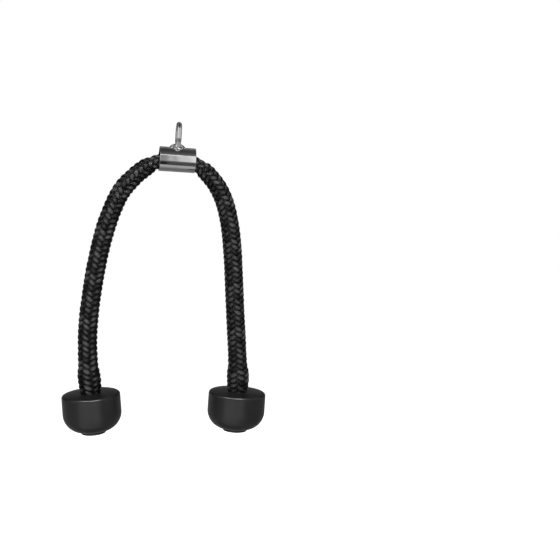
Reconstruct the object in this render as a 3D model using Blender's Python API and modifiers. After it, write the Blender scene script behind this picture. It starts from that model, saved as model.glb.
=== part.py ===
"""A triceps rope attachment: a steel sleeve with a welded eye, one thick braided rope through the sleeve,
and a moulded rubber stopper on each end of the rope.

Run it with blender --background --python part.py, or from Blender's text editor. Lengths are in metres
and +Z is up. The sleeve lies along X, and the origin is where a carabiner bears inside the eye.
"""

from math import acos, ceil, cos, pi, sin, sqrt

import bmesh
import bpy
from mathutils import Matrix, Vector

# Sleeve: a short length of thin steel tube
SLEEVE_DIAMETER = 0.0337
SLEEVE_LENGTH = 0.0494
SLEEVE_WALL = 0.0016
SLEEVE_EDGE_ROUND = 0.0006

# Eye: a round rod bent into a closed link, which stands on the sleeve's back
EYE_ROD_DIAMETER = 0.007
EYE_GAP_WIDTH = 0.013
EYE_GAP_HEIGHT = 0.02045

# Weld: a mound of metal round the link's foot, shaped like the cap of a ball that sits inside the sleeve.
# The span is along the sleeve and the reach across it.
WELD_BALL_SPAN = 0.0272
WELD_BALL_REACH = 0.0214
WELD_CLIMB = 0.005

# Rope
ROPE_DIAMETER = 0.0264
ROPE_SEAM_FROM_MIDDLE = 0.015
ROPE_BEND_END = 0.120
ROPE_PIVOT = 0.070
ROPE_POINT_SPACING = 0.0125
ROPE_END_RUN = 0.002

# Stopper: moulded rubber, turned about the rope
STOPPER_DIAMETER = 0.0816
STOPPER_TOP_DIAMETER = 0.0812
STOPPER_CROWN = 0.0012
STOPPER_RIM_ROUND = 0.0034
STOPPER_WIDEST_DEPTH = 0.0285
STOPPER_BODY_HEIGHT = 0.0543
STOPPER_HOLE_ROUND = 0.001
BOSS_DIAMETER = 0.0346
BOSS_HEIGHT = 0.0033
BOSS_EDGE_ROUND = 0.0008

# End cup: pressed on the rope's end, with a closed floor that shows in the boss
CUP_WALL = 0.0015
CUP_FLOOR = 0.002
CUP_HEIGHT = 0.020
CUP_EDGE_ROUND = 0.0008
CUP_PROUD = 0.0005

# Seat washer: moulded into the rubber, above the cup's lip
WASHER_DIAMETER = 0.050
WASHER_THICKNESS = 0.002

# Fits
FIT_GAP = 0.0003
CUT_OVERRUN = 0.004

# The rope's thickness near the sleeve's mouth and near a stopper, as pairs: the distance past the mouth,
# or above the stopper, and the thickness there. Both are shares of the rope's diameter.
MOUTH_SQUEEZE_shares = (
    (-1.0, 0.86), (-0.3, 0.73), (0.3, 0.725), (0.65, 0.91), (1.1, 0.94), (2.3, 0.975), (4.5, 1.0),
)
STOPPER_SWELL_shares = (
    (0.0, 1.02), (0.12, 1.1), (0.35, 1.18), (0.75, 1.21), (0.95, 1.195), (1.55, 1.03), (2.3, 1.01),
    (6.5, 1.0),
)

# Moulding and turning shares
DOME_FLAT_share = 0.85  # the flat under the dome, as a share of the boss that covers it
SIDE_BELLY_shares = (0.35, 0.7)
DOME_STEPS = 9
ROUND_STEPS = 3
TURN_STEPS = 48
EYE_BEND_STEPS = 16
EYE_SIDES_SETTING = 6
ROPE_SIDES_SETTING = 4
WELD_STEPS = 40

# The route of the rope's bends, from the foot of the left one, through the sleeve, to the foot of the right
# one. Each pair is x and z, in metres from the sleeve's middle.
LEFT_BEND_ROUTE = (
    (-0.0878, -0.0829), (-0.0775, -0.0552), (-0.0696, -0.0415), (-0.0602, -0.0302), (-0.0500, -0.0197),
    (-0.0379, -0.0105), (-0.0247, -0.0037),
)
MIDDLE_ROUTE = ((-0.0120, -0.0017), (0.0, -0.0010), (0.0120, -0.0015))
RIGHT_BEND_ROUTE = (
    (0.0247, -0.0040), (0.0373, -0.0118), (0.0484, -0.0219), (0.0578, -0.0331), (0.0652, -0.0456),
    (0.0714, -0.0600), (0.0793, -0.0887),
)

# How far the legs hang, and each leg's route from the foot of its bend down to the top of its stopper, as
# shares of that drop
ROPE_LEG_DROP = 0.25
LEFT_LEG_shares = (
    (-0.0336, -0.1332), (-0.0568, -0.2696), (-0.0732, -0.4060), (-0.0840, -0.5420), (-0.0868, -0.6772),
    (-0.0776, -0.8124), (-0.0700, -0.8840), (-0.0620, -0.9336), (-0.0552, -0.9892),
)
RIGHT_LEG_shares = (
    (0.0208, -0.1256), (0.0360, -0.2528), (0.0492, -0.3792), (0.0628, -0.5044), (0.0772, -0.6288),
    (0.0908, -0.7532), (0.0972, -0.8232), (0.1012, -0.8760), (0.1012, -0.9320),
)
CURVE_STEPS = 16

# Sizes that follow
SLEEVE_RADIUS = SLEEVE_DIAMETER / 2
SLEEVE_BORE_RADIUS = SLEEVE_RADIUS - SLEEVE_WALL
SLEEVE_MOUTH = SLEEVE_LENGTH / 2
SLEEVE_CENTRE = Vector((0, 0, -EYE_GAP_HEIGHT - EYE_ROD_DIAMETER - FIT_GAP - SLEEVE_RADIUS))
EYE_ROD_RADIUS = EYE_ROD_DIAMETER / 2
EYE_BEND_RADIUS = EYE_GAP_WIDTH / 2 + EYE_ROD_RADIUS
ROPE_END_DIAMETER = ROPE_DIAMETER * STOPPER_SWELL_shares[0][1]
STOPPER_BORE_RADIUS = ROPE_END_DIAMETER / 2 + FIT_GAP
CUP_RADIUS = STOPPER_BORE_RADIUS + CUP_WALL
STOPPER_HEIGHT = STOPPER_BODY_HEIGHT + BOSS_HEIGHT
CUP_BOTTOM = -STOPPER_HEIGHT - CUP_PROUD
CUP_LIP = CUP_BOTTOM + CUP_HEIGHT
WASHER_BOTTOM = CUP_LIP + FIT_GAP
WASHER_TOP = WASHER_BOTTOM + WASHER_THICKNESS
ROPE_RUN_IN_STOPPER = -(CUP_BOTTOM + CUP_FLOOR + FIT_GAP)

# Finishes: colour, roughness and metallic
CHROME = ("chrome_plate", (0.78, 0.78, 0.79), 0.08, 1.0)
WELD = ("plated_weld", (0.62, 0.62, 0.63), 0.25, 1.0)
STEEL = ("pressed_steel", (0.6, 0.61, 0.6), 0.35, 1.0)
BRAID = ("black_braid", (0.012, 0.012, 0.013), 0.6, 0.0)
RUBBER = ("black_rubber", (0.035, 0.035, 0.036), 0.42, 0.0)


class RopeLine:
    """The rope's centre line, measured by its length from the sleeve's middle: below zero on the left."""

    def __init__(self, route):
        knots = [SLEEVE_CENTRE + Vector((x, 0, z)) for x, z in route]
        self.points = smooth_points(knots)
        lengths = [0.0]
        for here, there in zip(self.points, self.points[1:]):
            lengths.append(lengths[-1] + (there - here).length)
        middle = min(range(len(self.points)), key=lambda i: abs(self.points[i].x))
        self.stations = [length - lengths[middle] for length in lengths]

    def top_of_stopper(self, side):
        """The station where the rope goes into the stopper on one side, -1 for left and 1 for right."""
        return self.stations[0] if side < 0 else self.stations[-1]

    def end_direction(self, side):
        """The direction in which the rope goes into a stopper."""
        last, before = (self.points[0], self.points[1]) if side < 0 else (self.points[-1], self.points[-2])
        return (last - before).normalized()

    def at(self, station):
        """The point at a station. Past either end the line goes straight on, into the stopper."""
        for side in (-1, 1):
            past = side * (station - self.top_of_stopper(side))
            if past >= 0:
                end = self.points[0] if side < 0 else self.points[-1]
                return end + self.end_direction(side) * past
        after = next(i for i, here in enumerate(self.stations) if here > station)
        span = self.stations[after] - self.stations[after - 1]
        share = (station - self.stations[after - 1]) / span
        return self.points[after - 1].lerp(self.points[after], share)

    def mouth(self, side):
        """The station where the rope leaves the sleeve."""
        outside = [s for s, p in zip(self.stations, self.points) if side * p.x >= SLEEVE_MOUTH]
        return max(outside) if side < 0 else min(outside)

    def radius(self, station):
        """The rope's radius at a station: squeezed at the sleeve's mouth, swollen above a stopper."""
        side = -1 if station < 0 else 1
        past_mouth = side * (station - self.mouth(side)) / ROPE_DIAMETER
        above_stopper = side * (self.top_of_stopper(side) - station) / ROPE_DIAMETER
        squeeze = read_table(MOUTH_SQUEEZE_shares, past_mouth)
        swell = read_table(STOPPER_SWELL_shares, above_stopper)
        return ROPE_DIAMETER / 2 * squeeze * swell


def rope_route():
    """The rope's whole route, from the left stopper's top to the right one's."""
    left_leg = hanging_route(LEFT_BEND_ROUTE[0], LEFT_LEG_shares)
    right_leg = hanging_route(RIGHT_BEND_ROUTE[-1], RIGHT_LEG_shares)
    return [*reversed(left_leg), *LEFT_BEND_ROUTE, *MIDDLE_ROUTE, *RIGHT_BEND_ROUTE, *right_leg]


def hanging_route(bend_foot, shares):
    """One leg's route, from the foot of its bend down."""
    return [(bend_foot[0] + x * ROPE_LEG_DROP, bend_foot[1] + z * ROPE_LEG_DROP) for x, z in shares]


def smooth_points(knots):
    """Points along a smooth curve that passes through every knot."""
    before_first = knots[0] + (knots[0] - knots[1])
    after_last = knots[-1] + (knots[-1] - knots[-2])
    padded = [before_first, *knots, after_last]
    points = []
    for a, b, c, d in zip(padded, padded[1:], padded[2:], padded[3:]):
        gaps = [sqrt((there - here).length) for here, there in ((a, b), (b, c), (c, d))]
        leave = gaps[1] * ((b - a) / gaps[0] - (c - a) / (gaps[0] + gaps[1])) + (c - b)
        arrive = gaps[1] * ((d - c) / gaps[2] - (d - b) / (gaps[1] + gaps[2])) + (c - b)
        for step in range(CURVE_STEPS):
            t = step / CURVE_STEPS
            towards = 3 * t ** 2 - 2 * t ** 3
            points.append(
                b.lerp(c, towards) + leave * (t ** 3 - 2 * t ** 2 + t) + arrive * (t ** 3 - t ** 2)
            )
    points.append(knots[-1])
    return points


def read_table(pairs, place):
    """The value at a place in a table of pairs, eased from one pair to the next."""
    if place <= pairs[0][0]:
        return pairs[0][1]
    for (low, before), (high, after) in zip(pairs, pairs[1:]):
        if place <= high:
            t = (place - low) / (high - low)
            return before + (after - before) * t * t * (3 - 2 * t)
    return pairs[-1][1]


def new_collection(name):
    """A collection in the scene, made once."""
    collection = bpy.data.collections.get(name) or bpy.data.collections.new(name)
    if name not in bpy.context.scene.collection.children:
        bpy.context.scene.collection.children.link(collection)
    return collection


def finish_material(finish):
    """The Principled material of a finish, made once."""
    name, colour, roughness, metallic = finish
    material = bpy.data.materials.get(name)
    if material is None:
        material = bpy.data.materials.new(name)
        material.use_nodes = True
        surface = material.node_tree.nodes["Principled BSDF"]
        surface.inputs["Base Color"].default_value = (*colour, 1)
        surface.inputs["Roughness"].default_value = roughness
        surface.inputs["Metallic"].default_value = metallic
        material.diffuse_color = (*colour, 1)
    return material


def add_part(name, mesh, place, finish):
    """A piece of the attachment, from a mesh in its own frame."""
    piece = bpy.data.objects.new(name, mesh)
    piece.matrix_world = place
    piece.data.materials.append(finish_material(finish))
    new_collection("triceps_rope_attachment").objects.link(piece)
    return piece


def add_cutter(name, mesh, place):
    """A cutter, which shows as wires and is no part of the attachment."""
    cutter = bpy.data.objects.new(name, mesh)
    cutter.matrix_world = place
    cutter.hide_render = True
    cutter.display_type = "WIRE"
    new_collection("cutters").objects.link(cutter)
    return cutter


def boolean(piece, cutter, operation):
    """Cut a piece with a cutter, or keep only what lies inside it."""
    modifier = piece.modifiers.new(f"{operation.lower()}_{cutter.name}", "BOOLEAN")
    modifier.operation = operation
    modifier.object = cutter
    modifier.solver = "EXACT"


def shade(mesh):
    """Smooth shading, with sharp edges kept."""
    mesh.shade_smooth()
    mesh.set_sharp_from_angle(angle=pi / 5)


def arc(centre, radius, start, end, steps):
    """Points of an arc in a profile, as pairs of radius and height, from one angle to another."""
    angles = [start + (end - start) * step / steps for step in range(steps + 1)]
    return [(centre[0] + radius * cos(a), centre[1] + radius * sin(a)) for a in angles]


def turned(name, profile, closed, place, finish):
    """A piece turned from a profile of radius and height. The profile runs down the outer side."""
    mesh = bpy.data.meshes.new(name)
    corners = list(range(len(profile)))
    edges = list(zip(corners, corners[1:]))
    if closed:
        edges.append((corners[-1], corners[0]))
    mesh.from_pydata([(radius, 0, height) for radius, height in profile], edges, [])
    piece = add_part(name, mesh, place, finish)
    screw = piece.modifiers.new("turn", "SCREW")
    screw.axis = "Z"
    screw.angle = 2 * pi
    screw.steps = TURN_STEPS
    screw.render_steps = TURN_STEPS
    screw.use_merge_vertices = True
    screw.merge_threshold = FIT_GAP / 10
    screw.use_smooth_shade = True
    return piece


def tube_mesh(name, points, radii, sides_setting, cyclic=False):
    """The mesh of a round bar or rope along points. Its ends are closed, or joined where it is cyclic."""
    curve = bpy.data.curves.new(name + "_line", "CURVE")
    curve.dimensions = "3D"
    curve.bevel_depth = max(radii)
    curve.bevel_resolution = sides_setting
    curve.use_fill_caps = not cyclic
    spline = curve.splines.new("POLY")
    spline.points.add(len(points[1:]))
    for knot, point, radius in zip(spline.points, points, radii):
        knot.co = (*point, 1)
        knot.radius = radius / curve.bevel_depth
    spline.use_cyclic_u = cyclic
    line = bpy.data.objects.new(name + "_line", curve)
    bpy.context.scene.collection.objects.link(line)
    bpy.context.view_layer.update()
    mesh = bpy.data.meshes.new_from_object(line.evaluated_get(bpy.context.evaluated_depsgraph_get()))
    bpy.data.objects.remove(line)
    body = bmesh.new()
    body.from_mesh(mesh)
    bmesh.ops.remove_doubles(body, verts=body.verts, dist=FIT_GAP / 10)
    bmesh.ops.recalc_face_normals(body, faces=body.faces)
    body.to_mesh(mesh)
    body.free()
    mesh.name = name
    mesh.materials.clear()
    shade(mesh)
    return mesh


def cylinder_cutter(name, radius, length, place):
    """A round cutter along its own Z."""
    mesh = bpy.data.meshes.new(name)
    body = bmesh.new()
    bmesh.ops.create_cone(
        body, cap_ends=True, segments=TURN_STEPS, radius1=radius, radius2=radius, depth=length
    )
    body.to_mesh(mesh)
    body.free()
    return add_cutter(name, mesh, place)


def block_cutter(name, size, centre):
    """A box cutter, square to the axes."""
    mesh = bpy.data.meshes.new(name)
    body = bmesh.new()
    bmesh.ops.create_cube(body, size=1)
    bmesh.ops.scale(body, vec=size, verts=body.verts)
    body.to_mesh(mesh)
    body.free()
    return add_cutter(name, mesh, Matrix.Translation(centre))


def build_sleeve():
    """The tube that the rope runs through, with its edges broken so that they don't fray the rope."""
    round_off = SLEEVE_EDGE_ROUND
    profile = []
    corners = (
        (SLEEVE_RADIUS - round_off, SLEEVE_MOUTH - round_off, pi / 2, 0),
        (SLEEVE_RADIUS - round_off, round_off - SLEEVE_MOUTH, 0, -pi / 2),
        (SLEEVE_BORE_RADIUS + round_off, round_off - SLEEVE_MOUTH, -pi / 2, -pi),
        (SLEEVE_BORE_RADIUS + round_off, SLEEVE_MOUTH - round_off, pi, pi / 2),
    )
    for radius, height, start, end in corners:
        profile += arc((radius, height), round_off, start, end, ROUND_STEPS)
    lie_along_x = Matrix.Translation(SLEEVE_CENTRE) @ Matrix.Rotation(pi / 2, 4, "Y")
    return turned("sleeve_tube", profile, True, lie_along_x, CHROME)


def eye_line():
    """The middle line of the link's rod: a half turn at its top and one at its foot."""
    top_bend = -EYE_GAP_WIDTH / 2
    foot_bend = EYE_GAP_WIDTH / 2 - EYE_GAP_HEIGHT
    points = []
    for centre, start in ((top_bend, 0), (foot_bend, pi)):
        for step in range(EYE_BEND_STEPS + 1):
            angle = start + pi * step / EYE_BEND_STEPS
            points.append(Vector((0, EYE_BEND_RADIUS * cos(angle), centre + EYE_BEND_RADIUS * sin(angle))))
    return points


def build_eye():
    """The closed link that takes the carabiner. It stands upright, across the sleeve."""
    line = eye_line()
    mesh = tube_mesh("eye_loop", line, [EYE_ROD_RADIUS] * len(line), EYE_SIDES_SETTING, cyclic=True)
    return add_part("eye_loop", mesh, Matrix(), CHROME)


def build_welds(sleeve_clearance):
    """The mound round the link's foot, in two halves: one laid from the front and one from the rear."""
    line = eye_line()
    room_radii = [EYE_ROD_RADIUS + FIT_GAP] * len(line)
    room = tube_mesh("eye_room", line, room_radii, EYE_SIDES_SETTING, cyclic=True)
    eye_clearance = add_cutter("eye_clearance", room, Matrix())
    ball_centre = SLEEVE_CENTRE + Vector((0, 0, SLEEVE_RADIUS + WELD_CLIMB - WELD_BALL_SPAN / 2))
    radii = (WELD_BALL_SPAN / 2, WELD_BALL_REACH / 2, WELD_BALL_SPAN / 2)
    for name, side in (("eye_weld_front", -1), ("eye_weld_rear", 1)):
        mesh = bpy.data.meshes.new(name)
        ball = bmesh.new()
        bmesh.ops.create_uvsphere(ball, u_segments=WELD_STEPS, v_segments=WELD_STEPS // 2, radius=1)
        bmesh.ops.scale(ball, vec=radii, verts=ball.verts)
        ball.to_mesh(mesh)
        ball.free()
        shade(mesh)
        weld = add_part(name, mesh, Matrix.Translation(ball_centre), WELD)
        half_across = Vector((0, side * (SLEEVE_DIAMETER + FIT_GAP) / 2, SLEEVE_RADIUS))
        half = block_cutter(
            name + "_half", (SLEEVE_LENGTH, SLEEVE_DIAMETER, SLEEVE_DIAMETER), SLEEVE_CENTRE + half_across
        )
        boolean(weld, sleeve_clearance, "DIFFERENCE")
        boolean(weld, eye_clearance, "DIFFERENCE")
        boolean(weld, half, "INTERSECT")


def build_rope(name, line, start, end):
    """A stretch of the rope from one station to another, with its ends cut square to it."""
    span = end - start
    count = max(1, ceil(abs(span) / ROPE_POINT_SPACING))
    direction = 1 if span > 0 else -1
    stations = [start + span * step / count for step in range(count + 1)]
    stations.insert(1, start + direction * ROPE_END_RUN)
    stations.insert(-1, end - direction * ROPE_END_RUN)
    points = [line.at(station) for station in stations]
    mesh = tube_mesh(name, points, [line.radius(station) for station in stations], ROPE_SIDES_SETTING)
    return add_part(name, mesh, Matrix(), BRAID)


def build_rope_leg(name, line, side):
    """The hanging stretch of the rope, and its straight run through the stopper into the end cup."""
    start = side * (ROPE_BEND_END + FIT_GAP / 2)
    top = line.top_of_stopper(side)
    count = ceil(abs(top - start) / ROPE_POINT_SPACING)
    stations = [start + (top - start) * step / count for step in range(count + 1)]
    stations.insert(1, start + side * ROPE_END_RUN)
    stations.append(top + side * ROPE_RUN_IN_STOPPER)
    points = [line.at(station) for station in stations]
    mesh = tube_mesh(name, points, [line.radius(station) for station in stations], ROPE_SIDES_SETTING)
    return add_part(name, mesh, Matrix(), BRAID)


def side_outline():
    """The stopper's outer side, from the rim's round to the foot of its dome."""
    rim_radius = STOPPER_TOP_DIAMETER / 2
    rim_centre = (rim_radius - STOPPER_RIM_ROUND, -STOPPER_CROWN - STOPPER_RIM_ROUND)
    outline = arc(rim_centre, STOPPER_RIM_ROUND, pi / 2, 0, ROUND_STEPS + 2)
    belly = STOPPER_DIAMETER / 2 - rim_radius
    drop = STOPPER_WIDEST_DEPTH + rim_centre[1]
    for share in SIDE_BELLY_shares:
        outline.append((rim_radius + belly * sin(share * pi / 2), rim_centre[1] - share * drop))
    flat_radius = BOSS_DIAMETER * DOME_FLAT_share / 2
    dome_width = STOPPER_DIAMETER / 2 - flat_radius
    dome_height = STOPPER_BODY_HEIGHT - STOPPER_WIDEST_DEPTH
    meets_boss = acos((BOSS_DIAMETER / 2 - flat_radius) / dome_width)
    for step in range(DOME_STEPS + 1):
        angle = meets_boss * step / DOME_STEPS
        outline.append((flat_radius + dome_width * cos(angle),
                        -STOPPER_WIDEST_DEPTH - dome_height * sin(angle)))
    return outline


def build_stopper(name, place):
    """The rubber moulding: its bore, the pocket that holds the washer, and the boss round the end cup."""
    edge_centre = (BOSS_DIAMETER / 2 - BOSS_EDGE_ROUND, BOSS_EDGE_ROUND - STOPPER_HEIGHT)
    cup_bore = CUP_RADIUS + FIT_GAP
    pocket = WASHER_DIAMETER / 2 + FIT_GAP
    hole_round = (STOPPER_BORE_RADIUS + STOPPER_HOLE_ROUND, -STOPPER_HOLE_ROUND)
    profile = [
        *side_outline(),
        *arc(edge_centre, BOSS_EDGE_ROUND, 0, -pi / 2, ROUND_STEPS),
        (cup_bore, -STOPPER_HEIGHT),
        (cup_bore, WASHER_BOTTOM - FIT_GAP),
        (pocket, WASHER_BOTTOM - FIT_GAP),
        (pocket, WASHER_TOP + FIT_GAP),
        (STOPPER_BORE_RADIUS, WASHER_TOP + FIT_GAP),
        *arc(hole_round, STOPPER_HOLE_ROUND, pi, pi / 2, ROUND_STEPS),
    ]
    return turned(name, profile, True, place, RUBBER)


def build_cup(name, place):
    """The steel cup on the rope's end."""
    edge_centre = (CUP_RADIUS - CUP_EDGE_ROUND, CUP_BOTTOM + CUP_EDGE_ROUND)
    profile = [
        (0, CUP_BOTTOM + CUP_FLOOR),
        (STOPPER_BORE_RADIUS, CUP_BOTTOM + CUP_FLOOR),
        (STOPPER_BORE_RADIUS, CUP_LIP),
        (CUP_RADIUS, CUP_LIP),
        *arc(edge_centre, CUP_EDGE_ROUND, 0, -pi / 2, ROUND_STEPS),
        (0, CUP_BOTTOM),
    ]
    return turned(name, profile, False, place, STEEL)


def build_washer(name, place):
    """The flat ring that spreads the cup's pull over the rubber."""
    outer = WASHER_DIAMETER / 2
    profile = [
        (outer, WASHER_TOP),
        (outer, WASHER_BOTTOM),
        (STOPPER_BORE_RADIUS, WASHER_BOTTOM),
        (STOPPER_BORE_RADIUS, WASHER_TOP),
    ]
    return turned(name, profile, True, place, STEEL)


def add_axis(name, point, parent=None):
    """An empty on a joint's axis, which the pieces that turn there hang from."""
    axis = bpy.data.objects.new(name, None)
    new_collection("triceps_rope_attachment").objects.link(axis)
    axis.parent = parent
    axis.matrix_world = Matrix.Translation(point)
    return axis


def hang(pieces, axis):
    """Parent pieces to an axis without moving them."""
    bpy.context.view_layer.update()
    for piece in pieces:
        piece.parent = axis
        piece.matrix_parent_inverse = axis.matrix_world.inverted()


def build_side(word, side, line, seam_block):
    """One side of the rope: the bend by the sleeve, the hanging leg and its stopper."""
    bend = build_rope(
        word + "_rope_bend", line, side * (ROPE_SEAM_FROM_MIDDLE - CUT_OVERRUN),
        side * (ROPE_BEND_END - FIT_GAP / 2)
    )
    boolean(bend, seam_block, "DIFFERENCE")
    leg = build_rope_leg(word + "_rope_leg", line, side)
    upright = Vector((0, 0, 1)).rotation_difference(-line.end_direction(side)).to_matrix().to_4x4()
    place = Matrix.Translation(line.at(line.top_of_stopper(side))) @ upright
    stopper = build_stopper(word + "_stopper", place)
    cup = build_cup(word + "_end_cup", place)
    washer = build_washer(word + "_seat_washer", place)
    swing = add_axis(word + "_swing_axis", SLEEVE_CENTRE)
    spread = add_axis(word + "_spread_axis", line.at(side * ROPE_PIVOT), swing)
    hang([bend], swing)
    hang([leg, stopper, cup, washer], spread)


def main():
    """Build the attachment."""
    for old in list(bpy.data.objects):
        bpy.data.objects.remove(old)
    line = RopeLine(rope_route())
    lie_along_x = Matrix.Translation(SLEEVE_CENTRE) @ Matrix.Rotation(pi / 2, 4, "Y")
    sleeve_clearance = cylinder_cutter(
        "sleeve_clearance", SLEEVE_RADIUS + FIT_GAP, SLEEVE_LENGTH + CUT_OVERRUN, lie_along_x
    )
    build_sleeve()
    build_eye()
    build_welds(sleeve_clearance)

    block_side = SLEEVE_DIAMETER
    seam_width = 2 * ROPE_SEAM_FROM_MIDDLE
    kept = block_cutter("middle_kept", (seam_width - FIT_GAP, block_side, block_side), SLEEVE_CENTRE)
    cleared = block_cutter("middle_cleared", (seam_width + FIT_GAP, block_side, block_side), SLEEVE_CENTRE)
    reach = ROPE_SEAM_FROM_MIDDLE + CUT_OVERRUN
    middle = build_rope("rope_in_sleeve", line, -reach, reach)
    boolean(middle, kept, "INTERSECT")
    for word, side in (("left", -1), ("right", 1)):
        build_side(word, side, line, cleared)


main()
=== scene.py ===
"""Looks of the triceps rope attachment: chromed sleeve and eye, braided rope, rubber stoppers.

Lengths are in metres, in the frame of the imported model: +Z up, the sleeve along X, and the origin where
a carabiner bears inside the eye.
"""

from __future__ import annotations

import logging
from dataclasses import dataclass, field
from enum import Enum
from math import acos, cos, pi, radians, sin, sqrt

import bpy
import numpy as np
from mathutils import Euler, Matrix, Vector

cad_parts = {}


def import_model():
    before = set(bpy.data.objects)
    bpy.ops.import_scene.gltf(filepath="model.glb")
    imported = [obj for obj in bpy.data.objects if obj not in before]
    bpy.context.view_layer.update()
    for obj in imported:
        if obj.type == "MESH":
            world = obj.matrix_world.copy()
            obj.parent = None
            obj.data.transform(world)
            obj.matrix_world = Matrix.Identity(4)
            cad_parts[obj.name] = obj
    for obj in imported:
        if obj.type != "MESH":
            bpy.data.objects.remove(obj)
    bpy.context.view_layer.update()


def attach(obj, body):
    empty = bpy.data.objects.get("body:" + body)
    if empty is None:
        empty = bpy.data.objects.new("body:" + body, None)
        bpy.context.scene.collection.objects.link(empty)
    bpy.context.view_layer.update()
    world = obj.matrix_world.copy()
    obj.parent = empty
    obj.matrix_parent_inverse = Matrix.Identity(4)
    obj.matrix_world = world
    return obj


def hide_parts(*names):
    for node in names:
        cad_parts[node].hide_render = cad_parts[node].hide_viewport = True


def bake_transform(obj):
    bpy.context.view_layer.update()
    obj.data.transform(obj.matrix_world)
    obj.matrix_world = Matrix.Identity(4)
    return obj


LOG = logging.getLogger("triceps_rope")

# The eye's bearing point stands this far above the sleeve's axis.
EYE_RISE = 0.0446
SLEEVE_CENTRE = Vector((0, 0, -EYE_RISE))
# Pieces that touch keep this gap.
FIT_GAP = 0.0003

Pair = tuple[float, float]
Triple = tuple[float, float, float]
Colour = tuple[float, float, float]


class Side(Enum):
    """A side of the attachment, by the sign of X there."""

    LEFT = -1
    RIGHT = 1

    @property
    def word(self) -> str:
        """The side's name in node and body names."""
        return self.name.lower()


def eased(table: tuple[Pair, ...], place: np.ndarray) -> np.ndarray:
    """Read a table of pairs, eased from one pair to the next.

    Args:
        table: Pairs of place and value, in rising order of place.
        place: Where to read it.

    Returns:
        The value at each place.
    """
    places, values = np.array(table).T
    inside = np.clip(place, places[0], places[-1])
    after = np.clip(np.searchsorted(places, inside), 1, len(places) - 1)
    t = (inside - places[after - 1]) / (places[after] - places[after - 1])
    return values[after - 1] + (values[after] - values[after - 1]) * t * t * (3 - 2 * t)


def chance_of(number: np.ndarray) -> np.ndarray:
    """A scattered value for each number, the same in every run.

    Args:
        number: The numbers.

    Returns:
        A value from 0 to 1 for each.
    """
    stride, scatter = 12.9898, 43.758
    return np.mod(np.sin(number * stride) * scatter, 1.0)


class MeshMaker:
    """Makes mesh objects from grids of points and from turned profiles."""

    @staticmethod
    def from_grid(name: str, grid: np.ndarray, wrap_rows: bool = False, wrap_columns: bool = False,
                  caps: bool = False) -> bpy.types.Object:
        """Make a smooth surface from a grid of points.

        Args:
            name: The new object's name.
            grid: Points, shaped rows by columns by 3.
            wrap_rows: Whether the last row joins the first.
            wrap_columns: Whether the last column joins the first.
            caps: Whether the first and last rows are closed with a fan.

        Returns:
            The object, linked to the scene.
        """
        rows, columns, _ = grid.shape
        points = grid.reshape(-1, 3)
        index = np.arange(rows * columns).reshape(rows, columns)
        if wrap_rows:
            index = np.vstack([index, index[:1]])
        if wrap_columns:
            index = np.hstack([index, index[:, :1]])
        quads = np.stack([index[:-1, :-1], index[:-1, 1:], index[1:, 1:], index[1:, :-1]], axis=-1)
        faces = quads.reshape(-1, 4).tolist()
        if caps:
            for row, turn in ((index[0, :columns], -1), (index[rows - 1, :columns], 1)):
                centre = len(points)
                points = np.vstack([points, points[row].mean(axis=0)])
                ring = list(row) + [row[0]]
                faces += [[int(a), int(b), centre][::turn] for a, b in zip(ring, ring[1:])]
        mesh = bpy.data.meshes.new(name)
        mesh.from_pydata(points.tolist(), [], faces)
        mesh.update()
        mesh.shade_smooth()
        piece = bpy.data.objects.new(name, mesh)
        bpy.context.scene.collection.objects.link(piece)
        return piece

    @staticmethod
    def turned(name: str, profile: list[Pair], segments: int, place: Matrix,
               closed: bool) -> bpy.types.Object:
        """Turn a profile about its own Z axis.

        Args:
            name: The new object's name.
            profile: Pairs of radius and height, down the outer side.
            segments: How many steps go round.
            place: Where the turned piece stands.
            closed: Whether the profile's end joins its start. An open profile ends on the axis.

        Returns:
            The object, linked to the scene.
        """
        angles = np.arange(segments) * 2 * pi / segments
        outline = np.array(profile)
        grid = np.empty((len(profile), segments, 3))
        grid[..., 0] = outline[:, :1] * np.cos(angles)
        grid[..., 1] = outline[:, :1] * np.sin(angles)
        grid[..., 2] = outline[:, 1:]
        turn = np.array(place.to_3x3())
        grid = grid @ turn.T + np.array(place.translation)
        return MeshMaker.from_grid(name, grid[:, ::-1], wrap_rows=closed, wrap_columns=True, caps=not closed)

    @staticmethod
    def arc(centre: Pair, radius: float, start: float, end: float, steps: int) -> list[Pair]:
        """Points of an arc in a profile, from one angle to another.

        Args:
            centre: The arc's centre, as radius and height.
            radius: The arc's own radius.
            start: The first angle, in radians.
            end: The last angle.
            steps: How many steps lie between them.

        Returns:
            Pairs of radius and height.
        """
        angles = [start + (end - start) * step / steps for step in range(steps + 1)]
        return [(centre[0] + radius * cos(a), centre[1] + radius * sin(a)) for a in angles]


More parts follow.
